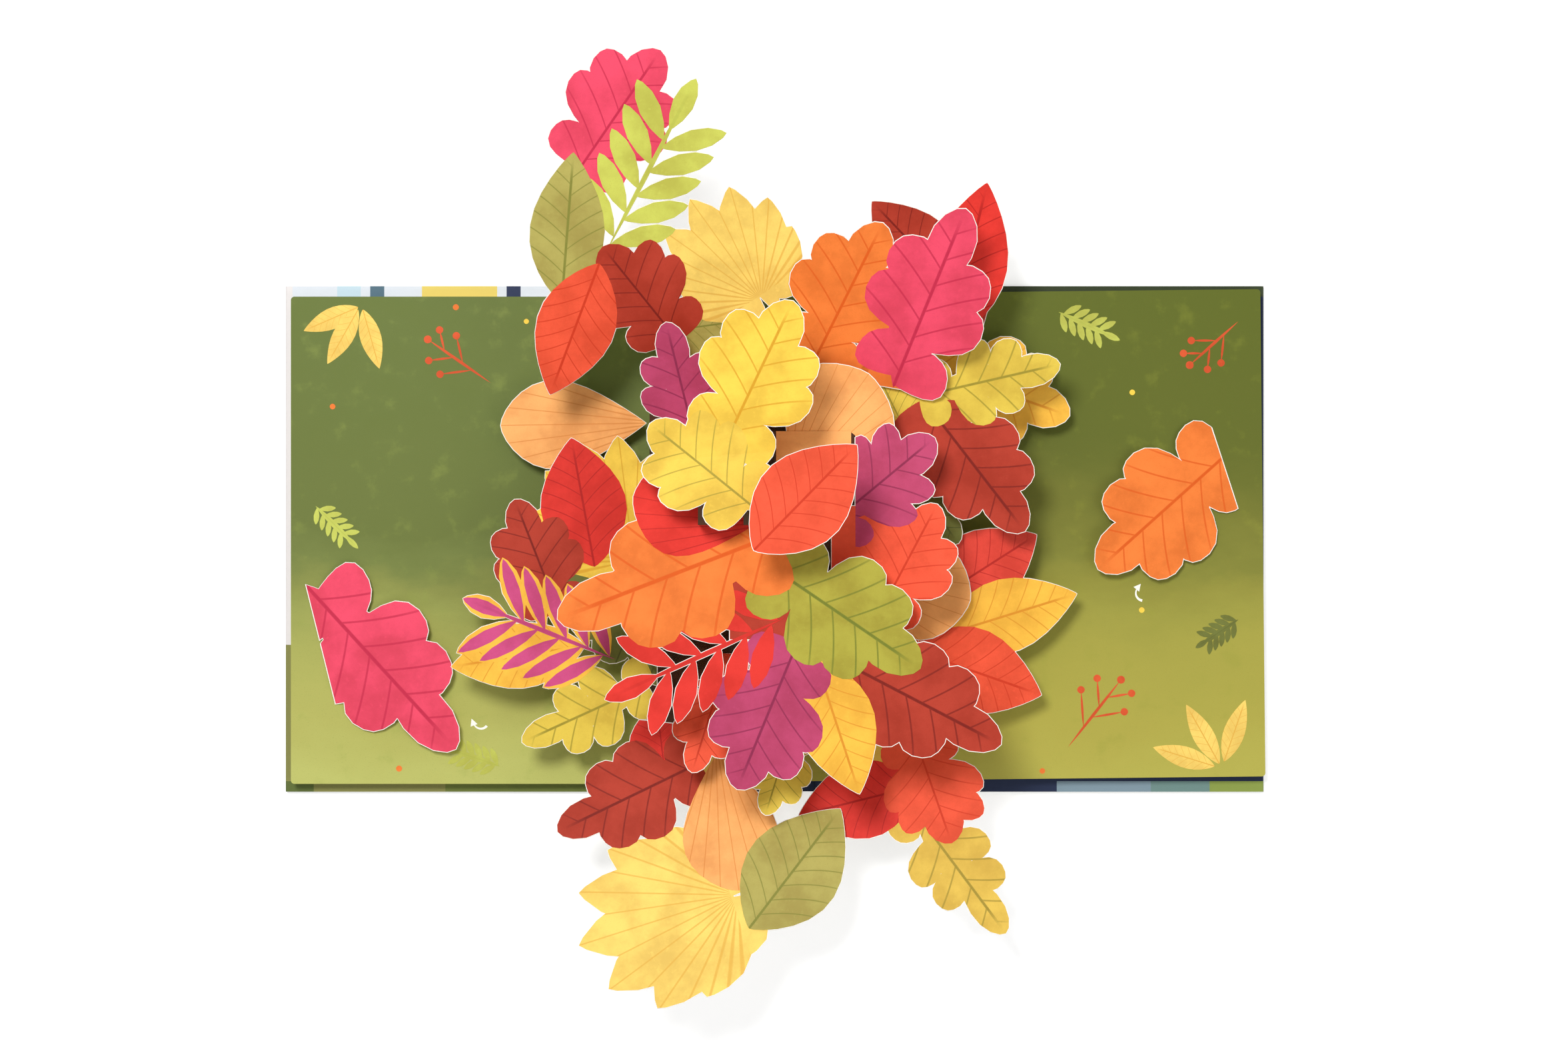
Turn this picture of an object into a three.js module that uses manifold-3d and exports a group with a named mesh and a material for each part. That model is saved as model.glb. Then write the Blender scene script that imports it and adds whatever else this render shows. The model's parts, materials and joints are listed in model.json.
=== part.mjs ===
// A pop up book lying open on its back: a hard cover, a block of card pages, two lift flaps, and a spray of
// die cut autumn leaves that stands over the middle spread on four storeys of folded card.
// Millimetres, +Z up, +X towards the right page, +Y towards the head of the book.
import * as THREE from 'three';
import { mergeVertices } from 'three/addons/utils/BufferGeometryUtils.js';
import Module from 'manifold-3d';

const wasm = await Module();
wasm.setup();

// Cover: two boards and a spine board, wrapped in one paper that makes the two hinge strips.
const coverHeight = 215;
const coverReach = 208;
const boardThickness = 2.4;
const boardEdge = 0.5;
const spineWidth = 20;
const hingeStripWidth = 7;
const hingeStripThickness = 0.8;
const hingeGap = 0.3;

// Page block: thick card leaves with folded pop ups between them, open at the middle spread.
const pageHeight = 206;
const pageReachLeft = 204.5;
const pageReachRight = 206.5;
const leafThickness = 0.9;
const fillerThickness = 2;
const leavesPerSide = 3;
const fillerSetback = 7;
const pageCorner = 1.5;
const gutterHalfWidth = 5;
const gutterFoldThickness = 1;
const pageDropLeft = 0.5;
const pageRiseRight = 0.5;
const pageTurnRight = 0.6;

// Card of the pop up, and the glue line that parts two glued faces.
const card = 0.4;
const glue = 0.3;
const flange = 8;
const score = 0.14;

// Storeys: each is a set of folded walls with a creased deck on top. The last one carries the leaf platform.
const storeys = [
  { height: 17, wallX: 46, from: -74, to: 58, deck: { x: [-52, 58], y: [-78, 64] } },
  { height: 16, wallX: 32, from: -52, to: 44, deck: { x: [-42, 42], y: [-60, 62] } },
  { height: 15, wallX: 21, from: -40, to: 24, deck: { x: [-36, 34], y: [-46, 44] } },
  { height: 14, wallX: 16, from: -36, to: 16 },
];
const deckCorner = 5;
const gutterFlange = 14;

// The leaves are laid out as a reader sees them on the page plane, from an eye straight above the spread.
const eyeAcross = 4;
const eyeUp = 7;
const eyeHeight = 1200;

// Petal outlines: the steps along a petal, and how full and how blunt each kind is.
const beechForm = { steps: 14, full: 0.9, blunt: 0.86 };
const lobeForm = { steps: 9, full: 1.55, blunt: 0.56 };
const pointedForm = { steps: 8, full: 1.15, blunt: 0.8 };
const fanForm = { steps: 16, full: 1.5, blunt: 0.62 };
const leafletForm = { steps: 6, full: 1.15, blunt: 0.7 };
const fernPairs = 5;
const fernStalk = 2.6;

const pageBottom = boardThickness + glue;
const pageTop = pageBottom + leavesPerSide * leafThickness + (leavesPerSide - 1) * fillerThickness;
const eye = new THREE.Vector3(eyeAcross, eyeUp, pageTop + eyeHeight);
const radians = THREE.MathUtils.degToRad;

const finishes = {
  cover: new THREE.MeshStandardMaterial({ color: 0x46503a, roughness: 0.55, metalness: 0 }),
  spine: new THREE.MeshStandardMaterial({ color: 0x1d1d20, roughness: 0.6, metalness: 0 }),
  pages: new THREE.MeshStandardMaterial({ color: 0x8ba03f, roughness: 0.6, metalness: 0 }),
  whiteCard: new THREE.MeshStandardMaterial({ color: 0xf2efe6, roughness: 0.7, metalness: 0 }),
};
const leafFinish = (color) => new THREE.MeshStandardMaterial({ color, roughness: 0.6, metalness: 0 });

// Solids: a closed geometry becomes a manifold for joining and cutting, and comes back as a geometry.
function solidOf(geometry) {
  const plain = geometry.clone();
  plain.deleteAttribute('normal');
  plain.deleteAttribute('uv');
  const merged = mergeVertices(plain, 1e-4);
  const vertProperties = merged.attributes.position.array;
  const triVerts = new Uint32Array(merged.index.array);
  return new wasm.Manifold(new wasm.Mesh({ numProp: 3, vertProperties, triVerts }));
}

function geometryOf(solid) {
  const { vertProperties, triVerts } = solid.getMesh();
  const geometry = new THREE.BufferGeometry();
  geometry.setAttribute('position', new THREE.BufferAttribute(new Float32Array(vertProperties), 3));
  geometry.setIndex(new THREE.BufferAttribute(new Uint32Array(triVerts), 1));
  geometry.computeVertexNormals();
  return geometry;
}

// Joined solids are taken as one original, so that faces in one plane lose the seams between them.
const seamTolerance = 0.01;
const join = (solids) => solids.reduce((sum, solid) => sum.add(solid)).asOriginal().simplify(seamTolerance);

function block(x0, x1, y0, y1, z0, z1) {
  const geometry = new THREE.BoxGeometry(x1 - x0, y1 - y0, z1 - z0);
  return geometry.translate((x0 + x1) / 2, (y0 + y1) / 2, (z0 + z1) / 2);
}

function slab(points, z0, z1) {
  const shape = points instanceof THREE.Shape ? points : new THREE.Shape(points);
  const geometry = new THREE.ExtrudeGeometry(shape, { depth: z1 - z0, bevelEnabled: false, curveSegments: 4 });
  return geometry.translate(0, 0, z0);
}

// A profile drawn in X and Z and run along Y.
function runAlongY(profile, y0, y1) {
  return slab(profile, 0, y1 - y0).rotateX(Math.PI / 2).translate(0, y1, 0);
}

function roundedRectangle(x0, x1, y0, y1, r) {
  const shape = new THREE.Shape();
  shape.moveTo(x0 + r, y0);
  shape.absarc(x1 - r, y0 + r, r, -Math.PI / 2, 0, false);
  shape.absarc(x1 - r, y1 - r, r, 0, Math.PI / 2, false);
  shape.absarc(x0 + r, y1 - r, r, Math.PI / 2, Math.PI, false);
  shape.absarc(x0 + r, y0 + r, r, Math.PI, Math.PI * 1.5, false);
  return shape;
}

const book = new THREE.Group();

function addPiece(name, geometry, finish, x = 0, y = 0, z = 0, turn = 0) {
  const mesh = new THREE.Mesh(geometry, finish);
  mesh.name = name;
  mesh.position.set(x, y, z);
  mesh.rotation.z = turn;
  book.add(mesh);
  return mesh;
}

// Cover board with its hinge strip: the board has eased edges, and the strip is the bare wrapping paper.
function coverBoard() {
  const inner = spineWidth / 2 + hingeGap;
  const board = inner + hingeStripWidth;
  const e = boardEdge;
  const profile = [
    [inner, 0], [coverReach - e, 0], [coverReach, e], [coverReach, boardThickness - e],
    [coverReach - e, boardThickness], [board + e, boardThickness], [board, boardThickness - e],
    [board, hingeStripThickness], [inner, hingeStripThickness],
  ];
  return profile.map(([x, z]) => new THREE.Vector2(x, z));
}

const backProfile = coverBoard();
const frontProfile = backProfile.map((p) => new THREE.Vector2(-p.x, p.y)).reverse();
addPiece('back_cover', runAlongY(backProfile, -coverHeight / 2, coverHeight / 2), finishes.cover);
addPiece('front_cover', runAlongY(frontProfile, -coverHeight / 2, coverHeight / 2), finishes.cover);

const spineShape = roundedRectangle(-spineWidth / 2, spineWidth / 2, 0, boardThickness, boardEdge);
addPiece('spine', runAlongY(spineShape, -coverHeight / 2, coverHeight / 2), finishes.spine);

// Page block: on each side full leaves with set back fillers between them, joined at the gutter by the fold.
function pageSide(reach, rise, turn) {
  const outline = (setback) => roundedRectangle(
    0.5, reach - setback, rise - pageHeight / 2 + setback, rise + pageHeight / 2 - setback, pageCorner);
  const layers = [];
  for (let i = 0; i < leavesPerSide; i += 1) {
    const z = pageBottom + i * (leafThickness + fillerThickness);
    layers.push(slab(outline(0), z, z + leafThickness));
    if (i < leavesPerSide - 1) {
      const foot = z + leafThickness;
      layers.push(slab(outline(fillerSetback), foot - score, foot + fillerThickness + score));
    }
  }
  return join(layers.map((layer) => solidOf(layer.rotateZ(radians(turn)))));
}

function pageBlock() {
  const right = pageSide(pageReachRight, pageRiseRight, pageTurnRight);
  const left = pageSide(pageReachLeft, pageDropLeft, 180);
  const gutter = [
    [-gutterHalfWidth, pageTop + 1], [0, pageBottom + gutterFoldThickness], [gutterHalfWidth, pageTop + 1],
  ].map(([x, z]) => new THREE.Vector2(x, z));
  const fold = block(-gutterHalfWidth, gutterHalfWidth, -pageHeight / 2, pageHeight / 2, pageBottom,
    pageBottom + gutterFoldThickness);
  const valley = runAlongY(gutter, -pageHeight, pageHeight);
  return right.add(left).add(solidOf(fold)).subtract(solidOf(valley));
}

addPiece('page_block', geometryOf(pageBlock()), finishes.pages);

// Folded card walls: a C section under a side of a deck, and an I section over the gutter.
function sideWall(name, side, x, y0, y1, z0, z1) {
  const profile = [
    [0, 0], [flange, 0], [flange, card], [card, card], [card, z1 - z0 - card], [flange, z1 - z0 - card],
    [flange, z1 - z0], [0, z1 - z0],
  ].map(([px, pz]) => new THREE.Vector2(-side * px, pz));
  if (side > 0) profile.reverse();
  addPiece(name, runAlongY(profile, y0, y1), finishes.whiteCard, side * x, 0, z0);
}

function gutterWall(name, foot, y0, y1, z0, z1) {
  const h = z1 - z0;
  const half = [[foot, 0], [foot, card], [card, card], [card, h - card], [flange, h - card], [flange, h]];
  const mirrored = half.map(([px, pz]) => [-px, pz]).reverse();
  const profile = [...half, ...mirrored].map(([px, pz]) => new THREE.Vector2(px, pz));
  addPiece(name, runAlongY(profile, y0, y1), finishes.whiteCard, 0, 0, z0);
}

// A sheet that folds at the gutter has a score line along it.
function scored(solid) {
  const line = [[-score, card + 1], [0, card - score], [score, card + 1]]
    .map(([x, z]) => new THREE.Vector2(x, z));
  return solid.subtract(solidOf(runAlongY(line, -coverHeight, coverHeight)));
}

const deckTops = [pageTop];
storeys.forEach((storey, i) => {
  const foot = deckTops[i] + glue;
  const head = deckTops[i] + storey.height;
  const level = `storey_${i + 1}`;
  sideWall(`${level}_wall_left`, -1, storey.wallX, storey.from, storey.to, foot, head);
  sideWall(`${level}_wall_right`, 1, storey.wallX, storey.from, storey.to, foot, head);
  gutterWall(`${level}_wall_gutter`, i === 0 ? gutterFlange : flange, storey.from, storey.to, foot, head);
  if (storey.deck) {
    const { x, y } = storey.deck;
    const sheet = solidOf(slab(roundedRectangle(x[0], x[1], y[0], y[1], deckCorner), 0, card));
    addPiece(`${level}_deck`, geometryOf(scored(sheet)), finishes.whiteCard, 0, 0, head + glue);
  }
  deckTops.push(head + glue + card);
});

// One petal: a closed outline from base to tip, its half width a power of a sine along its length.
function petal(x, y, angle, length, width, form) {
  const points = [];
  const along = new THREE.Vector2(Math.cos(angle), Math.sin(angle));
  const across = new THREE.Vector2(-along.y, along.x);
  const half = (t) => (width / 2) * Math.sin(Math.PI * t ** form.full) ** form.blunt;
  const place = (t, side) => new THREE.Vector2(x, y).addScaledVector(along, t * length)
    .addScaledVector(across, side * half(t));
  const station = (_, i) => (1 - Math.cos((Math.PI * (i + 1)) / form.steps)) / 2;
  const stations = Array.from({ length: form.steps - 1 }, station);
  points.push(new THREE.Vector2(x, y));
  stations.forEach((t) => points.push(place(t, -1)));
  points.push(new THREE.Vector2(x, y).addScaledVector(along, length));
  stations.reverse().forEach((t) => points.push(place(t, 1)));
  return points;
}

// An oak leaf: a blade, a tip lobe and three pairs of side lobes that stand a little out of step.
function oakPetals(l, w, lobeShare, bladeShare) {
  const petals = [petal(0, 0, 0, l * 0.88, w * bladeShare, pointedForm)];
  petals.push(petal(l * 0.45, 0, 0, l * 0.55, w * 0.4, lobeForm));
  const reach = [0.72, 0.95, 0.78];
  reach.forEach((share, i) => {
    for (const side of [-1, 1]) {
      const angle = radians(52 - 5 * i);
      const start = l * (0.04 + 0.215 * i + 0.025 * side);
      const length = (share * w) / 2 / Math.sin(angle);
      petals.push(petal(start, 0, side * angle, length, l * lobeShare, lobeForm));
    }
  });
  return petals;
}

// Leaf kinds, each a list of petals in its own frame: base at the origin, midrib along +X.
const kinds = {
  beech: (l, w) => [petal(0, 0, 0, l, w, beechForm)],
  fan: (l, w) => [petal(0, 0, 0, l, w, fanForm)],
  oak: (l, w) => oakPetals(l, w, 0.27, 0.56),
  slimOak: (l, w) => oakPetals(l, w, 0.22, 0.4),
  maple: (l) => {
    const petals = [petal(0, 0, 0, l * 0.85, l, beechForm)];
    for (let i = -5; i <= 5; i += 1) {
      const turn = radians(19 * i);
      const length = l * (0.15 + 0.85 * Math.cos(0.95 * turn));
      petals.push(petal(0, 0, turn, length, l * 0.4, pointedForm));
    }
    return petals;
  },
  fern: (l, w) => {
    const angle = radians(50);
    const length = w / 2 / Math.sin(angle);
    const broad = length * 0.34;
    const petals = [petal(0, 0, 0, l * 0.86, fernStalk, leafletForm)];
    petals.push(petal(l * 0.7, 0, 0, l * 0.3, broad, leafletForm));
    for (let i = 0; i < fernPairs; i += 1) {
      for (const side of [-1, 1]) {
        const start = l * (0.06 + 0.14 * i + 0.02 * side);
        petals.push(petal(start, 0, side * angle, length, broad, leafletForm));
      }
    }
    return petals;
  },
};

// A leaf as the reader sees it: kind, base, tip and width.
const leaf = (kind, base, tip, width) => ({ kind, base, tip, width });

// Where a point seen on the page plane lies on a card that is flat up to its fold and then rises by its tilt.
function onCard(spray, foldZ, [x, y]) {
  const turn = -radians(spray.out);
  const centre = new THREE.Vector2();
  const fold = new THREE.Vector2(...spray.fold);
  const local = (px, py) => new THREE.Vector2(px, py).sub(fold).rotateAround(centre, turn);
  const from = local(eye.x, eye.y);
  const ray = local(x, y).sub(from);
  const drop = eye.z - foldZ;
  const depth = eye.z - pageTop;
  const slope = Math.tan(radians(spray.tilt));
  const share = (drop - from.x * slope) / (depth + ray.x * slope);
  const risen = from.x + share * ray.x;
  if (risen >= 0) {
    const along = risen / Math.cos(radians(spray.tilt));
    return { point: new THREE.Vector2(along, from.y + share * ray.y), share };
  }
  return { point: from.addScaledVector(ray, drop / depth), share };
}

function petalsOnCard(spray, foldZ) {
  const outlines = [];
  for (const { kind, base, tip, width } of spray.leaves) {
    const root = onCard(spray, foldZ, base);
    const end = onCard(spray, foldZ, tip);
    const run = end.point.clone().sub(root.point);
    const turn = Math.atan2(run.y, run.x);
    for (const outline of kinds[kind](run.length(), width * root.share)) {
      outlines.push(outline.map((p) => p.clone().rotateAround(new THREE.Vector2(), turn).add(root.point)));
    }
  }
  return outlines;
}

// A die cut card: all its leaves joined, bent along the fold line, with a glue tab behind the fold.
function sprayCard(spray, foldZ) {
  const outlines = petalsOnCard(spray, foldZ);
  for (const [x0, x1, y0, y1] of spray.bridges ?? []) {
    outlines.push([[x0, y0], [x1, y0], [x1, y1], [x0, y1]].map(([x, y]) => new THREE.Vector2(x, y)));
  }
  const far = coverReach;
  const sheet = join(outlines.map((outline) => solidOf(slab(outline, 0, card))));
  if (spray.tilt === 0) return spray.crease ? scored(sheet) : sheet;
  const outer = sheet.subtract(solidOf(block(-far, -card, -far, far, -far, far)));
  const risen = solidOf(geometryOf(outer).rotateY(-radians(spray.tilt)));
  if (spray.flatPart) return risen.add(sheet.subtract(solidOf(block(card, far, -far, far, -far, far))));
  if (!spray.tab) return risen;
  const [depth, y0, y1] = spray.tab;
  return risen.add(solidOf(block(-depth, card, y0, y1, 0, card)));
}

// The spray, from the page up. Each card has its fold line, the side it leans out to, its tilt and its leaves,
// a tab (depth and its two ends along the fold) and bridges (x and y spans on the sheet) that tie leaves together.
const lowHeight = 9;
const stacked = card + glue;
const onDeck = (i) => deckTops[i] + glue;
const upperHeight = 14;
const tipHeight = 27;
const platformTop = deckTops[4];
const sprays = [
  {
    name: 'leaf_card_low_left', colour: 0xf5a95c, z: pageTop + lowHeight,
    fold: [-54, 49], out: 180, tilt: 0,
    leaves: [
      leaf('fan', [-54, 49], [-116, 48], 38),
    ],
  },
  {
    name: 'leaf_card_low_right', colour: 0xf4bb3c, z: pageTop + lowHeight,
    fold: [66, 70], out: 0, tilt: 0,
    leaves: [
      leaf('oak', [62, 74], [125, 52], 46),
    ],
  },
  {
    name: 'leaf_card_lower_left', colour: 0xb53a2a, z: onDeck(1),
    fold: [-49, -20], out: 180, tilt: 3, tab: [10, -32, 26],
    leaves: [
      leaf('maple', [-60, -8], [-84, 41], 50),
      leaf('beech', [-76, -12], [-86, 43], 37),
      leaf('oak', [-90, -34], [-110, 17], 38),
      leaf('fern', [-67, -51], [-132, -25], 45),
      leaf('beech', [-80, -45], [-137, -54], 28),
      leaf('slimOak', [-50, -60], [-107, -86], 33),
      leaf('oak', [-83, -6], [-46, -62], 38),
    ],
    bridges: [[-1, 24, -30, 24]],
  },
  {
    name: 'leaf_card_lower_right', colour: 0xee5b38, z: onDeck(1),
    fold: [62, -32], out: 350, tilt: -5, tab: [18, -20, 20],
    leaves: [
      leaf('beech', [64, -28], [111, 2], 35),
      leaf('beech', [70, -41], [128, -23], 32),
      leaf('beech', [56, -46], [113, -66], 37),
    ],
    bridges: [[-1, 12, -18, 18]],
  },
  {
    name: 'leaf_card_right', colour: 0xf5a95c, z: onDeck(1) + stacked,
    fold: [52, -8], out: 350, tilt: 8, tab: [10, -14, 30],
    leaves: [
      leaf('oak', [51, 34], [78, -2], 31),
      leaf('fan', [30, -14], [83, -26], 43),
    ],
    bridges: [[-1, 6, -14, 30]],
  },
  {
    name: 'leaf_card_head_low', colour: 0xe5362f, z: onDeck(1),
    fold: [38, 62], out: 75, tilt: 16, tab: [11, -14, 16],
    leaves: [
      leaf('beech', [78, 104], [41, 143], 31),
      leaf('beech', [74, 84], [90, 151], 34),
    ],
    bridges: [[-1, 50, -14, 10], [26, 50, -40, 10]],
  },
  {
    name: 'leaf_card_foot_left', colour: 0xf7df78, z: onDeck(1),
    fold: [-22, -79], out: 264, tilt: 20, tab: [16, -16, 16],
    leaves: [
      leaf('oak', [-28, -93], [-92, -124], 42),
      leaf('beech', [-46, -103], [-50, -68], 28),
      leaf('fan', [-24, -90], [-15, -149], 41),
      leaf('beech', [-11, -165], [28, -114], 42),
      leaf('maple', [-17, -151], [-83, -172], 60),
    ],
    bridges: [[-1, 24, -16, 16]],
  },
  {
    name: 'leaf_card_foot_right', colour: 0xd8c044, z: onDeck(1),
    fold: [42, -75], out: 285, tilt: 14, tab: [12, -14, 14],
    leaves: [
      leaf('beech', [62, -104], [10, -117], 34),
      leaf('oak', [58, -80], [75, -129], 43),
      leaf('slimOak', [57, -112], [98, -167], 36),
    ],
    bridges: [[-1, 20, -14, 16]],
  },
  {
    name: 'leaf_card_head_left', colour: 0xe94e6e, z: onDeck(2),
    fold: [-26, 60], out: 100, tilt: 22, tab: [12, -14, 14],
    leaves: [
      leaf('oak', [-85, 153], [-48, 207], 49),
      leaf('beech', [-90, 100], [-85, 164], 32),
      leaf('fern', [-71, 122], [-33, 195], 44),
      leaf('maple', [-6, 102], [-36, 144], 50),
      leaf('oak', [-40, 83], [-73, 124], 46),
      leaf('beech', [-74, 117], [-95, 61], 34),
      leaf('beech', [-46, 88], [-2, 94], 37),
    ],
    bridges: [[-1, 30, -14, 14]],
  },
  {
    name: 'leaf_card_head_right', colour: 0xf08038, z: onDeck(2),
    fold: [28, 60], out: 80, tilt: 22, tab: [12, -9, 14],
    leaves: [
      leaf('oak', [15, 72], [46, 134], 50),
      leaf('oak', [50, 64], [81, 140], 51),
    ],
    bridges: [[-1, 14, -9, 14], [6, 16, -26, 14]],
  },
  {
    name: 'leaf_card_side_right', colour: 0xa8382a, z: onDeck(2),
    fold: [41, 40], out: 0, tilt: -3, tab: [10, -12, 6],
    leaves: [
      leaf('slimOak', [60, 60], [121, 74], 36),
      leaf('oak', [62, 60], [106, 3], 46),
      leaf('beech', [60, 36], [43, 71], 26),
    ],
    bridges: [[-1, 26, -10, 10], [14, 26, -4, 24]],
  },
  {
    name: 'leaf_card_foot_middle', colour: 0xd8c044, z: onDeck(2),
    fold: [-12, -59], out: 266, tilt: 10, tab: [12, -14, 18],
    leaves: [
      leaf('oak', [8, -78], [-4, -117], 28),
      leaf('oak', [-21, -54], [-35, -99], 31),
    ],
    bridges: [[-1, 24, -12, 18]],
  },
  {
    name: 'leaf_card_round', colour: 0xf5a95c, z: deckTops[3] - card - glue - card,
    fold: [20, 31], out: 60, tilt: 0,
    leaves: [
      leaf('fan', [8, 26], [40, 70], 50),
    ],
  },
  {
    name: 'leaf_card_purple_left', colour: 0xb5456e, z: onDeck(3),
    fold: [-28, 42], out: 95, tilt: 9, tab: [11, -6, 8],
    leaves: [
      leaf('slimOak', [-32, 35], [-46, 92], 36),
    ],
    bridges: [[-1, 10, -6, 8]],
  },
  {
    name: 'leaf_card_purple_right', colour: 0xb5456e, z: onDeck(3),
    fold: [33, -4], out: 0, tilt: 6, tab: [10, -22, 18],
    leaves: [
      leaf('slimOak', [22, 5], [68, 43], 44),
      leaf('oak', [43, -34], [69, 15], 42),
    ],
    bridges: [[-1, 12, -22, 18]],
  },
  {
    name: 'leaf_platform', colour: 0xf08038, z: platformTop - card,
    fold: [0, 0], out: 0, tilt: 0, crease: true,
    leaves: [
      leaf('fan', [-5, 8], [-60, 18], 44),
      leaf('oak', [6, 4], [-92, -34], 58),
      leaf('oak', [-4, -10], [62, -55], 52),
      leaf('fern', [5, -33], [-72, -68], 44),
      leaf('oak', [10, -43], [-16, -106], 50),
      leaf('beech', [17, -50], [36, -108], 34),
      leaf('oak', [25, -50], [96, -87], 47),
    ],
    bridges: [[-18, 18, -40, 18]],
  },
  {
    name: 'leaf_card_upper', colour: 0xf4d650, z: platformTop + upperHeight + glue,
    fold: [-15, 34], out: 95, tilt: 8, flatPart: true,
    leaves: [
      leaf('oak', [-23, 36], [8, 101], 52),
      leaf('oak', [-7, 12], [-53, 49], 46),
    ],
  },
  {
    name: 'leaf_card_tip', colour: 0xee5b38, z: platformTop + tipHeight + glue,
    fold: [13, 17], out: 45, tilt: 0,
    leaves: [
      leaf('beech', [-9, -5], [35, 40], 40),
    ],
  },
];

// Lift flaps: a leaf on each page, hinged along its cut stalk end and lifted by its paper spring.
const flapTilt = 5;
const leftHinge = 9 - pageReachLeft;
const rightHinge = pageReachRight - 18;
const flaps = [
  {
    name: 'lift_flap_left', colour: 0xe2406c, z: pageTop + glue,
    fold: [leftHinge, -29], out: 14, tilt: flapTilt,
    leaves: [
      leaf('oak', [leftHinge - 3, -19], [leftHinge + 61, -89], 54),
    ],
  },
  {
    name: 'lift_flap_right', colour: 0xee7c36, z: pageTop + glue,
    fold: [rightHinge, 35], out: 198, tilt: flapTilt,
    leaves: [
      leaf('oak', [rightHinge + 5, 38], [rightHinge - 52, -13], 52),
    ],
  },
];

// Struts: folded walls that carry the two low cards from the pages and the two top cards from the platform.
sideWall('low_strut_left', -1, 76, 38, 58, pageTop + glue, pageTop + lowHeight - glue);
sideWall('low_strut_right', 1, 86, 52, 70, pageTop + glue, pageTop + lowHeight - glue);
sideWall('upper_strut_left', -1, 30, 6, 27, platformTop + glue, platformTop + upperHeight);
sideWall('upper_strut_middle', -1, 12, 6, 27, platformTop + glue, platformTop + upperHeight);
sideWall('tip_strut', 1, 15, 6, 24, platformTop + glue, platformTop + tipHeight);

for (const spray of [...sprays, ...flaps]) {
  const [x, y] = spray.fold;
  const sheet = geometryOf(sprayCard(spray, spray.z));
  addPiece(spray.name, sheet, leafFinish(spray.colour), x, y, spray.z, radians(spray.out));
}

export default book;
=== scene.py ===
"""Looks of a pop up book that lies open, with its spray of die cut autumn leaves. Lengths are in metres."""

import json
import math

import bmesh
import bpy
from mathutils import Matrix, Vector


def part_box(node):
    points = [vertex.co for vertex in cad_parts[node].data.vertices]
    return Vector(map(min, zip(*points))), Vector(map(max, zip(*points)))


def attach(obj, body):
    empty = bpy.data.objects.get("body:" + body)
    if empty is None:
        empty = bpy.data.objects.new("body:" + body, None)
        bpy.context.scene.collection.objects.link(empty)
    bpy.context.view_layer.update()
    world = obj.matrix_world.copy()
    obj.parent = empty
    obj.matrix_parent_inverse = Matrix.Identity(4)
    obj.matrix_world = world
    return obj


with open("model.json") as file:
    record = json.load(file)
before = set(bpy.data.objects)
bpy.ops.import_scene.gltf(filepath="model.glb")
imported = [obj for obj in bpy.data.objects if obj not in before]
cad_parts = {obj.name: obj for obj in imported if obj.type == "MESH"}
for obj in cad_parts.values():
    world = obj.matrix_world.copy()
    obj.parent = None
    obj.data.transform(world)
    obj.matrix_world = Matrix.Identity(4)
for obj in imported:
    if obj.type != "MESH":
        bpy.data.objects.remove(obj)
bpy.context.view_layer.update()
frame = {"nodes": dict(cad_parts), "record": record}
mm = 0.001


# Camera, straight over the spread and a little towards the head, as the reader stands. The whole image is
# 663 mm wide at the height of the pages, and the eye is 1.2 m above them.
page_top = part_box("page_block")[1][2]
reader_height = 1.2
image_width = 0.663
film_width = 36
eye = Vector((4 * mm, 7 * mm, page_top + reader_height))

bpy.ops.object.camera_add(location=eye, rotation=(0, 0, 0))
camera = bpy.context.object
camera.name = "reader"
camera.data.sensor_width = film_width
camera.data.lens = film_width * (eye.z - page_top) / image_width
camera.data.clip_start = 0.05
bpy.context.scene.camera = camera
bpy.context.scene.view_settings.view_transform = "Standard"


# Studio light: a strong soft lamp over the head of the book and a wide weaker one at the right of its
# foot, both turned to the middle of the book.
def soft_lamp(name, place, size, watts):
    bpy.ops.object.light_add(type="AREA", location=place)
    lamp = bpy.context.object
    lamp.name = name
    lamp.data.shape = "DISK"
    lamp.data.size = size
    lamp.data.energy = watts
    lamp.rotation_euler = (-Vector(place)).to_track_quat("-Z", "Y").to_euler()


soft_lamp("key_lamp", (-0.35, 0.55, 1.5), size=0.45, watts=17)
soft_lamp("fill_lamp", (0.9, -0.5, 1.2), size=0.9, watts=4)


# Room and table: an even pale room, and a pale floor that keeps the soft shadow of the book. Both look
# white to the camera and in anything that mirrors them. A Field is a number socket that takes part in
# Python expressions, and a Finish is one material, or the room's light, which adds every other node
# through its node method.
class Field:
    def __init__(self, finish, socket):
        self.finish = finish
        self.socket = socket

    def math(self, operation, *values):
        out = self.finish.node("ShaderNodeMath", {"operation": operation}, *[plain(v) for v in values])
        return Field(self.finish, out.outputs[0])

    def __add__(self, other):
        return self.math("ADD", self, other)

    def __sub__(self, other):
        return self.math("SUBTRACT", self, other)

    def __rsub__(self, other):
        return self.math("SUBTRACT", other, self)

    def __mul__(self, other):
        return self.math("MULTIPLY", self, other)

    def __truediv__(self, other):
        return self.math("DIVIDE", self, other)

    def __rtruediv__(self, other):
        return self.math("DIVIDE", other, self)

    def __gt__(self, other):
        return self.math("GREATER_THAN", self, other)

    def __lt__(self, other):
        return self.math("LESS_THAN", self, other)

    def __abs__(self):
        return self.math("ABSOLUTE", self)

    __radd__ = __add__
    __rmul__ = __mul__

    def step(self, low, high):
        """0 below low, 1 above high, and smooth between them. It falls where low is above high."""
        rising = {"interpolation_type": "SMOOTHSTEP"}
        ramp = self.finish.node("ShaderNodeMapRange", rising, self.socket, low, high, 0, 1)
        return Field(self.finish, ramp.outputs[0])

    def nearest(self):
        """How far the number is from the nearest whole one, 0 to 0.5."""
        return abs(self - self.math("ROUND", self))


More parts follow.
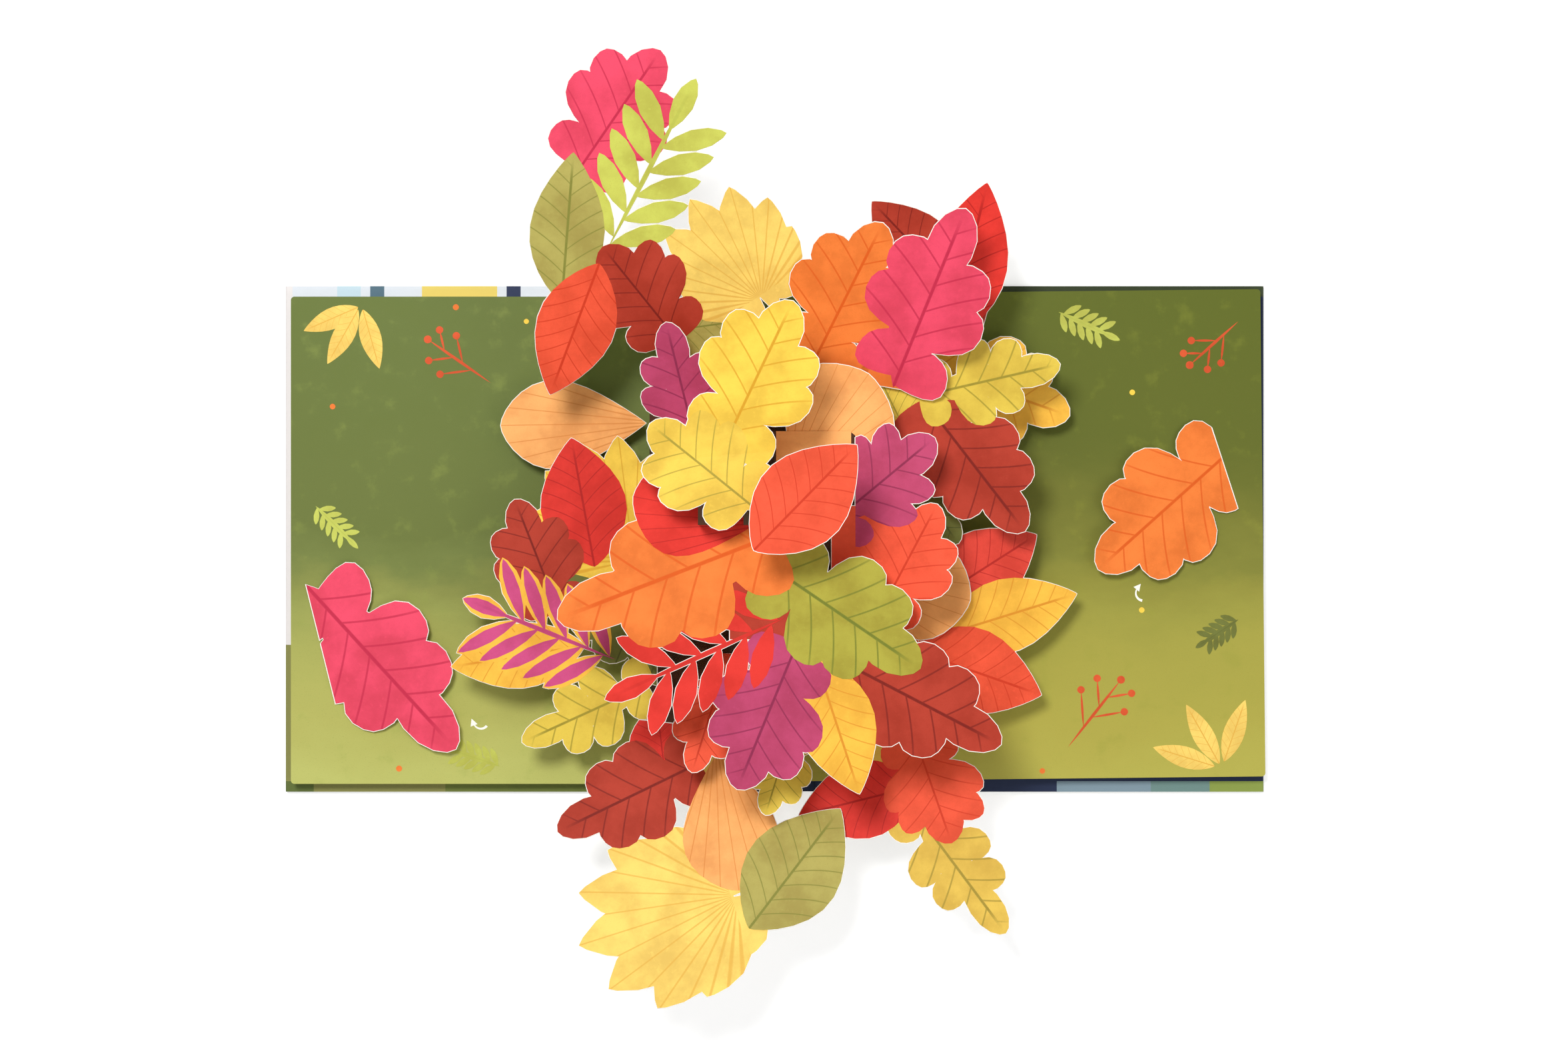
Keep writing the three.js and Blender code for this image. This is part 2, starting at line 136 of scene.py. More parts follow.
def plain(value):
    return value.socket if isinstance(value, Field) else value


class Finish:
    paper_sheen = 0.12
    paper_grain = 0.03 * mm

    def __init__(self, name, owner=None):
        self.material = owner or bpy.data.materials.new(name)
        self.material.use_nodes = True
        self.tree = self.material.node_tree
        self.shader = self.tree.nodes["Background" if owner else "Principled BSDF"]
        coordinates = self.node("ShaderNodeTexCoord", {})
        self.place = coordinates.outputs["Object"]
        self.sheet = coordinates.outputs["UV"]
        self.facing = coordinates.outputs["Normal"]

    def node(self, kind, settings, *inputs, **named):
        added = self.tree.nodes.new(kind)
        for name, value in settings.items():
            if name == "stops":
                for stop in value[2:]:
                    added.color_ramp.elements.new(stop[0])
                for element, (place, colour) in zip(added.color_ramp.elements, value):
                    element.position = place
                    element.color = colour
            else:
                setattr(added, name, value)
        for key, value in list(enumerate(inputs)) + [(k.replace("_", " "), v) for k, v in named.items()]:
            value = plain(value)
            if isinstance(value, bpy.types.NodeSocket):
                self.tree.links.new(value, added.inputs[key])
            else:
                added.inputs[key].default_value = value
        return added

    def axes(self, vector):
        """The three numbers of a vector."""
        parts = self.node("ShaderNodeSeparateXYZ", {}, vector)
        return [Field(self, out) for out in parts.outputs]

    def noise(self, per_metre, detail=3, roughness=0.55, stretch=(1, 1, 1)):
        """Even noise, 0 to 1, with that many spots in a metre."""
        mapped = self.node("ShaderNodeMapping", {}, self.place, Scale=stretch)
        grain = self.node("ShaderNodeTexNoise", {}, Vector=mapped.outputs[0], Scale=per_metre, Detail=detail,
                          Roughness=roughness)
        return Field(self, grain.outputs[0])

    def blend(self, low, high, share, mode="MIX"):
        """The low colour at share 0, the high one at 1. The Mix node keeps its colours at 6, 7 and 2."""
        mixed = self.node("ShaderNodeMix", {"data_type": "RGBA", "blend_type": mode}, Factor=share)
        for key, value in ((6, low), (7, high)):
            if isinstance(value, bpy.types.NodeSocket):
                self.tree.links.new(value, mixed.inputs[key])
            else:
                mixed.inputs[key].default_value = value
        return mixed.outputs[2]

    def paper(self, colour, roughness, grain):
        """Ends the material as paper: its colour, its roughness and a fine bump that follows the grain."""
        bump = self.node("ShaderNodeBump", {}, Strength=0.5, Distance=self.paper_grain, Height=grain)
        self.tree.links.new(bump.outputs[0], self.shader.inputs["Normal"])
        self.tree.links.new(colour, self.shader.inputs["Base Color"])
        self.tree.links.new(roughness.socket, self.shader.inputs["Roughness"])
        self.shader.inputs["Specular IOR Level"].default_value = self.paper_sheen
        return self.material


def seen_share(finish):
    """1 for a ray that shows the surface, 0 for one that only lights others."""
    rays = finish.node("ShaderNodeLightPath", {}).outputs
    shown = Field(finish, rays["Is Camera Ray"]) + Field(finish, rays["Is Glossy Ray"])
    shown = shown + Field(finish, rays["Is Transmission Ray"])
    return shown.math("MINIMUM", shown, 1)


room_light = 0.44
table_glow = 0.45
table_drop = 0.3 * mm
room = bpy.data.worlds.new("room")
bpy.context.scene.world = room
air = Finish("room", room)
air.shader.inputs["Color"].default_value = (1, 1, 1, 1)
brightness = seen_share(air) * (1 - room_light) + room_light
air.tree.links.new(brightness.socket, air.shader.inputs["Strength"])


def table_finish():
    finish = Finish("pale_table")
    finish.shader.inputs["Base Color"].default_value = (0.86, 0.86, 0.86, 1)
    finish.shader.inputs["Roughness"].default_value = 0.9
    finish.shader.inputs["Emission Color"].default_value = (1, 1, 1, 1)
    glow = seen_share(finish) * table_glow
    finish.tree.links.new(glow.socket, finish.shader.inputs["Emission Strength"])
    return finish.material


bpy.ops.mesh.primitive_plane_add(size=8, location=(0, 0, -table_drop))
table = bpy.context.object
table.name = "table"
table.data.materials.append(table_finish())


# Covers and spine: grey board wrapped in matt laminated paper. Outside they have a plain moss coloured
# paper. The turned in edges that show around the pages have plain bands, and the spine is nearly black.
# Colours are written as six hex digits and turned to linear light.
def ink(code):
    shares = [int(code[i:i + 2], 16) / 255 for i in (0, 2, 4)]
    return tuple(s / 12.92 if s <= 0.04045 else ((s + 0.055) / 1.055) ** 2.4 for s in shares) + (1,)


def dress(node, material):
    """Gives a CAD piece its material."""
    mesh = frame["nodes"][node].data
    mesh.materials.clear()
    mesh.materials.append(material)


def cover_finish(name, outside, bands):
    """Bands are (colour, low x, high x, low y, high y) in millimetres, painted on the upper face."""
    finish = Finish(name)
    x, y, _ = finish.axes(finish.place)
    up = finish.axes(finish.facing)[2] > 0.5
    fibre = finish.noise(1400)
    worn = finish.noise(45, 5).step(0.45, 0.75)
    colour = finish.blend(ink(outside), ink("8A8C78"), worn * 0.18)
    for band, x0, x1, y0, y1 in bands:
        inside = (x > x0 * mm) * (x < x1 * mm) * (y > y0 * mm) * (y < y1 * mm) * up
        colour = finish.blend(colour, ink(band), inside)
    return finish.paper(colour, 0.42 + fibre * 0.15, fibre)


front_bands = [
    ("8B8A50", -209, -10, -108, 108), ("E9E4E2", -209, -204, -45, 108), ("DDE3EA", -205, -10, 103, 108),
    ("C4DBE6", -186, -176, 103, 108), ("54707F", -172, -166, 103, 108), ("E7CF6A", -150, -118, 103, 108),
    ("2B3553", -114, -108, 103, 108), ("5E6B38", -209, -196, -108, -103), ("6F7A3C", -140, -60, -108, -103),
]
back_bands = [
    ("27304A", 10, 209, -108, 108), ("7F94A0", 120, 160, -108, -103), ("6E8B86", 160, 185, -108, -103),
    ("8A9A4A", 185, 209, -108, -103), ("39422C", 10, 209, 103, 108),
]
moss = "56643A"
dress("front_cover", cover_finish("front_cover_paper", moss, front_bands))
dress("back_cover", cover_finish("back_cover_paper", moss, back_bands))
dress("spine", cover_finish("spine_paper", "1B1C22", []))


# Page block: coated card, printed on the open spread with a green wash that lightens towards the foot, a
# little warmer on the right page, and with the white edges of its leaves showing all round.
page_height = 206 * mm
leaf_pitch = 0.31 * mm


def page_finish():
    finish = Finish("printed_page")
    x, y, z = finish.axes(finish.place)
    up = finish.axes(finish.facing)[2] > 0.3
    brushed = finish.noise(16, 5, 0.6, (1, 1.8, 1))
    cloud = finish.noise(90, 4)
    fibre = finish.noise(1900, 2)
    height = (y / page_height + 0.5) + (brushed - 0.5) * 0.24
    right = x > 0
    stops = [(0.0, ink("BCBE6A")), (0.13, ink("B2B15E")), (0.29, ink("A6A858")), (0.36, ink("989D52")),
             (0.41, ink("8A8F49")), (0.47, ink("737E40")), (0.53, ink("6A7539")), (1.0, ink("657334"))]
    wash = finish.node("ShaderNodeValToRGB", {"stops": stops}, height).outputs[0]
    wash = finish.blend(wash, ink("93A04A"), cloud.step(0.55, 0.75) * 0.3)
    wash = finish.blend(wash, ink("55662F"), fibre.step(0.58, 0.8) * 0.22)
    wash = finish.blend(wash, ink("C8C46A"), right * height.step(0.72, 0.42) * 0.22)
    wash = finish.blend(wash, ink("F3EAC5"), right, "MULTIPLY")
    layers = (z / leaf_pitch).nearest().step(0.1, 0.32)
    edge = finish.blend(ink("F3F0E6"), ink("CFC8B4"), layers * 0.45)
    colour = finish.blend(edge, wash, up)
    return finish.paper(colour, 0.5 - cloud * 0.12, fibre)


dress("page_block", page_finish())


# Storeys and struts: folded white card, glued by its flanges. Their upper faces carry painted shade, a
# dark brown that stands for the shade seen in between the leaves.
def tier_finish():
    finish = Finish("deck_card_with_painted_shade")
    fibre = finish.noise(1600, 3)
    cloud = finish.noise(70, 4)
    up = finish.axes(finish.facing)[2] > 0.5
    # Painted shade: the upper faces are a mottled dark brown for the shade between the leaves, and the sides
    # stay plain card.
    painted_shade = finish.blend(ink("3A2A1C"), ink("55301F"), cloud.step(0.4, 0.6) * 0.6)
    plain_card = finish.blend(ink("F2EEE4"), ink("DAD3C2"), fibre.step(0.45, 0.7) * 0.35)
    return finish.paper(finish.blend(plain_card, painted_shade, up), 0.6 + fibre * 0.1, fibre)


deck_card_with_painted_shade = tier_finish()
for node in frame["nodes"]:
    if node.startswith("storey_") or "strut" in node:
        dress(node, deck_card_with_painted_shade)


# Leaf cards and lift flaps: die cut from white card and printed on top alone, so that their backs and cut
# edges are plain. They are glued by a tab or by the stalk end.
def stock_finish():
    finish = Finish("die_cut_card")
    fibre = finish.noise(1700, 3)
    cloud = finish.noise(120, 3)
    shade = cloud.step(0.35, 0.75) * 0.35 + fibre.step(0.5, 0.75) * 0.2
    colour = finish.blend(ink("F7F4EC"), ink("E2DCCB"), shade)
    return finish.paper(colour, 0.62 + fibre * 0.12, fibre)


stock = stock_finish()
for node in frame["nodes"]:
    if node.startswith(("leaf_", "lift_flap")):
        dress(node, stock)


# Leaf outlines, as the dies were drawn. Every leaf is made of petals, and each petal is its base point,
# angle, length, width and form. A form is the steps along the petal, how full it is and how blunt.
petal_forms = {
    "beech": (14, 0.9, 0.86), "lobe": (9, 1.55, 0.56), "pointed": (8, 1.15, 0.8), "fan": (16, 1.5, 0.62),
    "leaflet": (6, 1.15, 0.7), "disc": (10, 1.0, 0.5),
}


def petal_outline(x, y, angle, length, width, form):
    steps, full, blunt = petal_forms[form]
    stations = [(1 - math.cos(math.pi * (i + 1) / steps)) / 2 for i in range(steps - 1)]
    side = [(t * length, width / 2 * math.sin(math.pi * t ** full) ** blunt) for t in stations]
    points = [(0, 0)] + [(u, -v) for u, v in side] + [(length, 0)] + [(u, v) for u, v in reversed(side)]
    c, s = math.cos(angle), math.sin(angle)
    return [(x + c * u - s * v, y + s * u + c * v) for u, v in points]


def oak_petals(length, width, lobe_share, blade_share):
    """A blade, a tip lobe and three pairs of side lobes that stand a little out of step."""
    petals = [(0, 0, 0, length * 0.88, width * blade_share, "pointed")]
    petals.append((length * 0.45, 0, 0, length * 0.55, width * 0.4, "lobe"))
    for i, share in enumerate((0.72, 0.95, 0.78)):
        for side in (-1, 1):
            angle = math.radians(52 - 5 * i)
            start = length * (0.04 + 0.215 * i + 0.025 * side)
            reach = share * width / 2 / math.sin(angle)
            petals.append((start, 0, side * angle, reach, length * lobe_share, "lobe"))
    return petals


def maple_petals(length, _):
    """Eleven points that fan out from the stalk over a round middle."""
    petals = [(0, 0, 0, length * 0.85, length, "beech")]
    for i in range(-5, 6):
        turn = math.radians(19 * i)
        reach = length * (0.15 + 0.85 * math.cos(0.95 * turn))
        petals.append((0, 0, turn, reach, length * 0.4, "pointed"))
    return petals


def fern_petals(length, width, breadth=0.34):
    """A thin stalk with five pairs of leaflets and one at its tip."""
    angle = math.radians(50)
    leaflet = width / 2 / math.sin(angle)
    petals = [(0, 0, 0, length * 0.86, 2.6, "leaflet")]
    petals.append((length * 0.7, 0, 0, length * 0.3, leaflet * breadth, "leaflet"))
    for i in range(5):
        for side in (-1, 1):
            start = length * (0.06 + 0.14 * i + 0.02 * side)
            petals.append((start, 0, side * angle, leaflet, leaflet * breadth, "leaflet"))
    return petals


def sprig_petals(length, width):
    """A twig with a berry at its tip and at the ends of four side twigs."""
    petals = [(0, 0, 0, length, 1.3, "leaflet"), (length - 1, 0, 0, 3.4, 3.4, "disc")]
    for i, side in enumerate((1, -1, 1, -1)):
        start = length * (0.3 + 0.15 * i)
        angle = side * math.radians(42)
        twig = width / 2 / math.sin(abs(angle)) * (1 - 0.12 * i)
        out = twig - 0.6
        petals.append((start, 0, angle, twig, 1.0, "leaflet"))
        petals.append((start + math.cos(angle) * out, math.sin(angle) * out, angle, 3.2, 3.2, "disc"))
    return petals


leaf_kinds = {
    "beech": lambda length, width: [(0, 0, 0, length, width, "beech")],
    "fan": lambda length, width: [(0, 0, 0, length, width, "fan")],
    "oak": lambda length, width: oak_petals(length, width, lobe_share=0.27, blade_share=0.56),
    "slim_oak": lambda length, width: oak_petals(length, width, lobe_share=0.22, blade_share=0.4),
    "maple": maple_petals,
    "fern": fern_petals,
    "slim_fern": lambda length, width: fern_petals(length, width, breadth=0.22),
    "sprig": sprig_petals,
    "dot": lambda length, width: [(0, 0, 0, length, width, "disc")],
}


# Printing inks of the leaves: each has a ground and a vein colour. The ground has soft clouds and fine
# flecks, and the veins follow the leaf's own kind, drawn on the sheet's own map with the midrib along it.
inks = {
    "crimson": ("E84A66", "C22D4A"), "orange": ("EE7E36", "DC5C1C"), "orange_red": ("EA5638", "CC3A20"),
    "red": ("DC352C", "B0221F"), "deep_red": ("E0483A", "B32A24"), "brick": ("B03A28", "7A2018"),
    "purple": ("B9436A", "8A2A4C"), "pink": ("C94C80", "A63A68"), "peach": ("F8AE66", "D9853E"),
    "amber": ("F5BC44", "DB8F2A"), "yellow": ("F3CD4C", "D69C28"), "mustard_yellow": ("EDCA50", "A8963A"),
    "corn": ("E0BC50", "A08A34"), "pale_yellow": ("F5D26A", "E3AE48"), "mustard": ("DABE48", "9A8B30"),
    "lime": ("C8CC5A", "A9B048"), "olive": ("B0A658", "84843A"), "olive_green": ("AAA33D", "727A2B"),
    "dark_olive": ("6E7436", "4E5526"), "sprig_red": ("D9582F", "D9582F"), "leaf_lime": ("BFC65A", "A5AE46"),
}


# Rays start that far behind the base and stand those degrees apart. Side ribs have a spacing along the
# midrib, a lean and a bow. On a fern only the midrib shows, and faintly.
rays = {"maple": (0.02, 9.5), "fan": (0.12, 6.5)}
side_ribs = {"beech": (0.118, 0.95, 0.9), "oak": (0.143, 0.82, 0.5), "slim_oak": (0.16, 0.85, 0.6)}
faint_midribs = {"fern": 0.3, "slim_fern": 0.3}


def leaf_veins(finish, kind):
    """How much vein there is, 0 to 1. The sheet's map runs from base to tip and has the midrib at a half."""
    u, v, _ = finish.axes(finish.sheet)
    v = v - 0.5
    side = abs(v)
    if kind in rays:
        behind, degrees = rays[kind]
        angle = v.math("ARCTAN2", v, u + behind)
        ribs = (angle / math.radians(degrees)).nearest() * u.math("MAXIMUM", u, 0.12)
        return ribs.step(0.035, 0.012) * (u > 0.02) * 0.75
    midrib = side.step(0.011, 0.005) * u.step(0.97, 0.8)
    if kind in side_ribs:
        spacing, lean, bow = side_ribs[kind]
        along = (u - side * lean + side * side * bow) / spacing + (v > 0) * 0.35
        ribs = along.nearest().step(0.055, 0.022) * along.step(0.6, 0.9) * u.step(0.98, 0.85)
        return midrib.math("MAXIMUM", midrib, ribs * side.step(0.5, 0.18) * 0.8)
    return midrib * faint_midribs.get(kind, 0)


def leaf_finish(kind, colour):
    finish = Finish(f"{colour}_{kind}")
    ground, vein = (ink(code) for code in inks[colour])
    deep = tuple(share * c for share, c in zip((0.86, 0.8, 0.76), ground)) + (1,)
    pale = tuple(min(1, 1.1 * c + 0.004) for c in ground[:3]) + (1,)
    cloud = finish.noise(55, 5, 0.6)
    fleck = finish.noise(2300, 2, 0.7)
    brushed = finish.noise(420, 4, 0.65)
    tone = finish.blend(deep, pale, cloud.step(0.3, 0.68))
    tone = finish.blend(tone, deep, fleck.step(0.55, 0.72) * 0.4)
    tone = finish.blend(tone, pale, brushed.step(0.56, 0.74) * 0.45)
    veins = leaf_veins(finish, kind) * (0.75 + brushed * 0.4)
    return finish.paper(finish.blend(tone, vein, veins), 0.46 + fleck * 0.16, fleck)


# Printed leaves: a skin of ink on each leaf card, cut a little inside the die line, so that the white
# edge of the card shows round it. Each is laid out as it is seen on the page and carried along the line
# of sight to its card. These sizes are in millimetres. A skin is sunk a little into the card, and loose
# petals lie a hair over each other.
card_thickness = 0.4
white_edge = 0.3
ink_depth = 0.03
sunk = 0.01
hair = 0.002
finishes = {}


def on_card(card, x, y):
    """Where a point seen on the page lies on the flat card, and the share that sizes shrink to there."""
    turn = math.radians(card["out"])
    slope = math.tan(math.radians(card["tilt"]))

    def local(px, py):
        dx, dy = px - card["fold"][0], py - card["fold"][1]
        return dx * math.cos(turn) + dy * math.sin(turn), dy * math.cos(turn) - dx * math.sin(turn)

    ex, ey = local(eye.x / mm, eye.y / mm)
    px, py = local(x, y)
    drop = eye.z / mm - (card["top"] - card_thickness)
    depth = (eye.z - page_top) / mm
    share = (drop - ex * slope) / (depth + (px - ex) * slope)
    risen = ex + share * (px - ex)
    if risen < 0:
        share = drop / depth
        return ex + share * (px - ex), ey + share * (py - ey), share
    return risen / math.cos(math.radians(card["tilt"])), ey + share * (py - ey), share


def skin(name, outlines, depth, joined=True):
    """One closed skin over all the outlines, where they are drawn. Outlines that aren't joined lie a hair
    over each other."""
    bpy.ops.object.select_all(action="DESELECT")
    bpy.ops.mesh.primitive_circle_add(vertices=len(outlines[0]), fill_type="NGON")
    piece = bpy.context.object
    piece.name = name
    bpy.ops.object.mode_set(mode="EDIT")
    for i, outline in enumerate(outlines):
        if i:
            bpy.ops.mesh.select_all(action="DESELECT")
            bpy.ops.mesh.primitive_circle_add(vertices=len(outline), fill_type="NGON")
        drawn = bmesh.from_edit_mesh(piece.data)
        for corner, (x, y) in zip([v for v in drawn.verts if v.select], outline):
            corner.co = (x * mm, y * mm, 0 if joined else hair * i * mm)
        bmesh.update_edit_mesh(piece.data)
    bpy.ops.mesh.select_all(action="SELECT")
    bpy.ops.mesh.extrude_region_move(TRANSFORM_OT_translate={"value": (0, 0, depth * mm)})
    bpy.ops.mesh.select_all(action="SELECT")
    bpy.ops.mesh.normals_make_consistent(inside=False)
    if joined and len(outlines) > 1:
        bpy.ops.mesh.intersect_boolean(operation="UNION", use_self=True, solver="EXACT")
    bpy.ops.object.mode_set(mode="OBJECT")
    return piece


def map_sheet(piece, length):
    """The piece's own map: from base to tip along its width, with the midrib at a half."""
    mesh = piece.data
    layer = mesh.uv_layers[0] if mesh.uv_layers else mesh.uv_layers.new(name="sheet")
    for loop in mesh.loops:
        x, y, _ = mesh.vertices[loop.vertex_index].co
        layer.data[loop.index].uv = (x / (length * mm), y / (length * mm) + 0.5)


def lay_on_card(piece, card, turn, root):
    """Turns the drawn piece into the card's sheet and sets it on the card. At the fold it is cut off, or
    bent where the card goes on flat behind its fold."""
    piece.data.transform(Matrix.Translation((root[0] * mm, root[1] * mm, 0)) @ Matrix.Rotation(turn, 4, "Z"))
    tilt = math.radians(card["tilt"])
    if tilt:
        bpy.ops.object.select_all(action="DESELECT")
        piece.select_set(True)
        bpy.context.view_layer.objects.active = piece
        bpy.ops.object.mode_set(mode="EDIT")
        bpy.ops.mesh.select_all(action="SELECT")
        bpy.ops.mesh.bisect(plane_co=(0, 0, 0), plane_no=(1, 0, 0), clear_inner=not card["flat"],
                            use_fill=not card["flat"])
        bpy.ops.object.mode_set(mode="OBJECT")
    for corner in piece.data.vertices:
        x, y, z = corner.co
        z += (card_thickness - sunk) * mm
        if tilt and x > -1e-7:
            x, z = x * math.cos(tilt) - z * math.sin(tilt), x * math.sin(tilt) + z * math.cos(tilt)
        corner.co = (x, y, z + (card["top"] - card_thickness) * mm)
    place = Matrix.Translation((card["fold"][0] * mm, card["fold"][1] * mm, 0))
    piece.data.transform(place @ Matrix.Rotation(math.radians(card["out"]), 4, "Z"))


def finish_of(kind, colour):
    if (kind, colour) not in finishes:
        finishes[kind, colour] = leaf_finish(kind, colour)
    return finishes[kind, colour]


def print_leaf(card, order, colour, kind, base, tip, width):
    x0, y0, share = on_card(card, *base)
    x1, y1, _ = on_card(card, *tip)
    length = math.hypot(x1 - x0, y1 - y0)
    edge = card["edge"]
    outlines = []
    for x, y, angle, reach, breadth, form in leaf_kinds[kind](length, width * share):
        x, y = x + math.cos(angle) * edge, y + math.sin(angle) * edge
        outlines.append(petal_outline(x, y, angle, reach - 2 * edge, max(breadth - 2 * edge, 0.8), form))
    joined = kind not in ("fern", "slim_fern", "sprig")
    piece = skin(f"{card['name']}_{colour}_{kind}_{order}", outlines, sunk + ink_depth * (order + 1), joined)
    map_sheet(piece, length)
    lay_on_card(piece, card, math.atan2(y1 - y0, x1 - x0), (x0, y0))
    piece.data.materials.append(finish_of(kind, colour))
    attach(piece, "root")


strip_depth = 0.4 * ink_depth
strip_map = 60


def print_link(card, order, colour, x0, x1, y0, y1):
    """A printed strip of the card between its leaves, or on its glue tab."""
    corners = [(x0 + white_edge, y0 + white_edge), (x1 - white_edge, y0 + white_edge),
               (x1 - white_edge, y1 - white_edge), (x0 + white_edge, y1 - white_edge)]
    piece = skin(f"{card['name']}_link_{order}", [corners], sunk + strip_depth)
    map_sheet(piece, strip_map)
    lay_on_card(piece, card, 0, (0, 0))
    piece.data.materials.append(finish_of("strip", colour))
    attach(piece, "root")


# The spray, card by card from the page up. Every card has a point of its fold line, the way it leans out
# and its tilt in degrees, and its leaves in printing order: colour, kind, base, tip and width, in
# millimetres as seen on the page. Links between leaves are printed too, and so is the glue tab, which has
# its depth and its two ends.
slot_of = {entry["node"]: entry["material_slot"] for entry in frame["record"]["subparts"]}
glue = 0.3


def top_of(node):
    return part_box(node)[1][2] / mm


def deck(storey):
    """The upper face of a card that is glued on that storey's deck."""
    return top_of(f"storey_{storey}_deck") + glue + card_thickness


def leaf_card(node, fold, out, tilt, top, leaves, links=(), flat=False, tab=None):
    card = {"name": node, "fold": fold, "out": out, "tilt": tilt, "top": top, "flat": flat,
            "edge": white_edge, "slot": slot_of[node]}
    if tab:
        depth, y0, y1 = tab
        print_link({**card, "tilt": 0}, "tab", leaves[0][0], -depth, white_edge, y0, y1)
    for order, link in enumerate(links):
        print_link(card, order, leaves[0][0], *link)
    for order, leaf in enumerate(leaves):
        print_leaf(card, order, *leaf)


leaf_card("leaf_card_low_left", fold=(-54, 49), out=180, tilt=0, top=top_of("leaf_card_low_left"),
          leaves=[("peach", "fan", (-54, 49), (-116, 48), 38)])
leaf_card("leaf_card_low_right", fold=(66, 70), out=0, tilt=0, top=top_of("leaf_card_low_right"),
          leaves=[("amber", "oak", (62, 74), (125, 52), 46)])
leaf_card("leaf_card_lower_left", fold=(-49, -20), out=180, tilt=3, top=deck(1),
          leaves=[("dark_olive", "oak", (-83, -6), (-46, -62), 38),
                  ("yellow", "maple", (-60, -8), (-84, 41), 50),
                  ("red", "beech", (-76, -12), (-86, 43), 37),
                  ("brick", "oak", (-90, -34), (-110, 17), 38),
                  ("mustard", "slim_oak", (-50, -60), (-107, -86), 33),
                  ("amber", "beech", (-80, -45), (-137, -54), 28),
                  ("amber", "fern", (-67, -51), (-132, -25), 45),
                  ("pink", "slim_fern", (-67, -51), (-132, -25), 44)],
          links=[(-1, 24, -30, 24)], tab=(10, -32, 26))
leaf_card("leaf_card_lower_right", fold=(62, -32), out=350, tilt=-5, top=deck(1),
          leaves=[("deep_red", "beech", (64, -28), (111, 2), 35),
                  ("amber", "beech", (70, -41), (128, -23), 32),
                  ("orange_red", "beech", (56, -46), (113, -66), 37)],
          links=[(-1, 12, -18, 18)], tab=(18, -20, 20))
leaf_card("leaf_card_right", fold=(52, -8), out=350, tilt=8, top=deck(1) + card_thickness + glue,
          leaves=[("dark_olive", "oak", (51, 34), (78, -2), 31),
                  ("peach", "fan", (30, -14), (83, -26), 43)],
          links=[(-1, 6, -14, 30)], tab=(10, -14, 30))
leaf_card("leaf_card_head_low", fold=(38, 62), out=75, tilt=16, top=deck(1),
          leaves=[("brick", "beech", (78, 104), (41, 143), 31),
                  ("red", "beech", (74, 84), (90, 151), 34)],
          links=[(-1, 50, -14, 10), (26, 50, -40, 10)], tab=(11, -14, 16))
leaf_card("leaf_card_foot_left", fold=(-22, -79), out=264, tilt=20, top=deck(1),
          leaves=[("pale_yellow", "maple", (-17, -151), (-83, -172), 60),
                  ("red", "beech", (-46, -103), (-50, -68), 28),
                  ("brick", "oak", (-28, -93), (-92, -124), 42),
                  ("peach", "fan", (-24, -90), (-15, -149), 41),
                  ("olive", "beech", (-11, -165), (28, -114), 42)],
          links=[(-1, 24, -16, 16)], tab=(16, -16, 16))
leaf_card("leaf_card_foot_right", fold=(42, -75), out=285, tilt=14, top=deck(1),
          leaves=[("corn", "slim_oak", (57, -112), (98, -167), 36),
                  ("red", "beech", (62, -104), (10, -117), 34),
                  ("orange_red", "oak", (58, -80), (75, -129), 43)],
          links=[(-1, 20, -14, 16)], tab=(12, -14, 14))
leaf_card("leaf_card_head_left", fold=(-26, 60), out=100, tilt=22, top=deck(2),
          leaves=[("olive", "beech", (-46, 88), (-2, 94), 37),
                  ("pale_yellow", "maple", (-6, 102), (-36, 144), 50),
                  ("crimson", "oak", (-85, 153), (-48, 207), 49),
                  ("lime", "fern", (-71, 122), (-33, 195), 44),
                  ("olive", "beech", (-90, 100), (-85, 164), 32),
                  ("brick", "oak", (-40, 83), (-73, 124), 46),
                  ("orange_red", "beech", (-74, 117), (-95, 61), 34)],
          links=[(-1, 30, -14, 14)], tab=(12, -14, 14))
leaf_card("leaf_card_head_right", fold=(28, 60), out=80, tilt=22, top=deck(2),
          leaves=[("orange", "oak", (15, 72), (46, 134), 50),
                  ("crimson", "oak", (50, 64), (81, 140), 51)],
          links=[(-1, 14, -9, 14), (6, 16, -26, 14)], tab=(12, -9, 14))
leaf_card("leaf_card_side_right", fold=(41, 40), out=0, tilt=-3, top=deck(2),
          leaves=[("mustard", "beech", (60, 36), (43, 71), 26),
                  ("brick", "oak", (62, 60), (106, 3), 46),
                  ("mustard", "slim_oak", (60, 60), (121, 74), 36)],
          links=[(-1, 26, -10, 10), (14, 26, -4, 24)], tab=(10, -12, 6))
leaf_card("leaf_card_foot_middle", fold=(-12, -59), out=266, tilt=10, top=deck(2),
          leaves=[("orange_red", "oak", (-21, -54), (-35, -99), 31),
                  ("mustard", "oak", (8, -78), (-4, -117), 28)],
          links=[(-1, 24, -12, 18)], tab=(12, -14, 18))
leaf_card("leaf_card_round", fold=(20, 31), out=60, tilt=0, top=top_of("leaf_card_round"),
          leaves=[("peach", "fan", (8, 26), (40, 70), 50)])
third_deck = {"name": "storey_3_deck", "fold": (0, 0), "out": 0, "tilt": 0, "top": top_of("storey_3_deck"),
              "slot": slot_of["storey_3_deck"]}
print_link(third_deck, "round", "peach", 0.5, 31.5, 6, 44.3)
leaf_card("leaf_card_purple_left", fold=(-28, 42), out=95, tilt=9, top=deck(3),
          leaves=[("purple", "slim_oak", (-32, 35), (-46, 92), 36)],
          links=[(-1, 10, -6, 8)], tab=(11, -6, 8))
leaf_card("leaf_card_purple_right", fold=(33, -4), out=0, tilt=6, top=deck(3),
          leaves=[("orange_red", "oak", (43, -34), (69, 15), 42),
                  ("purple", "slim_oak", (22, 5), (68, 43), 44)],
          links=[(-1, 12, -22, 18)], tab=(10, -22, 18))
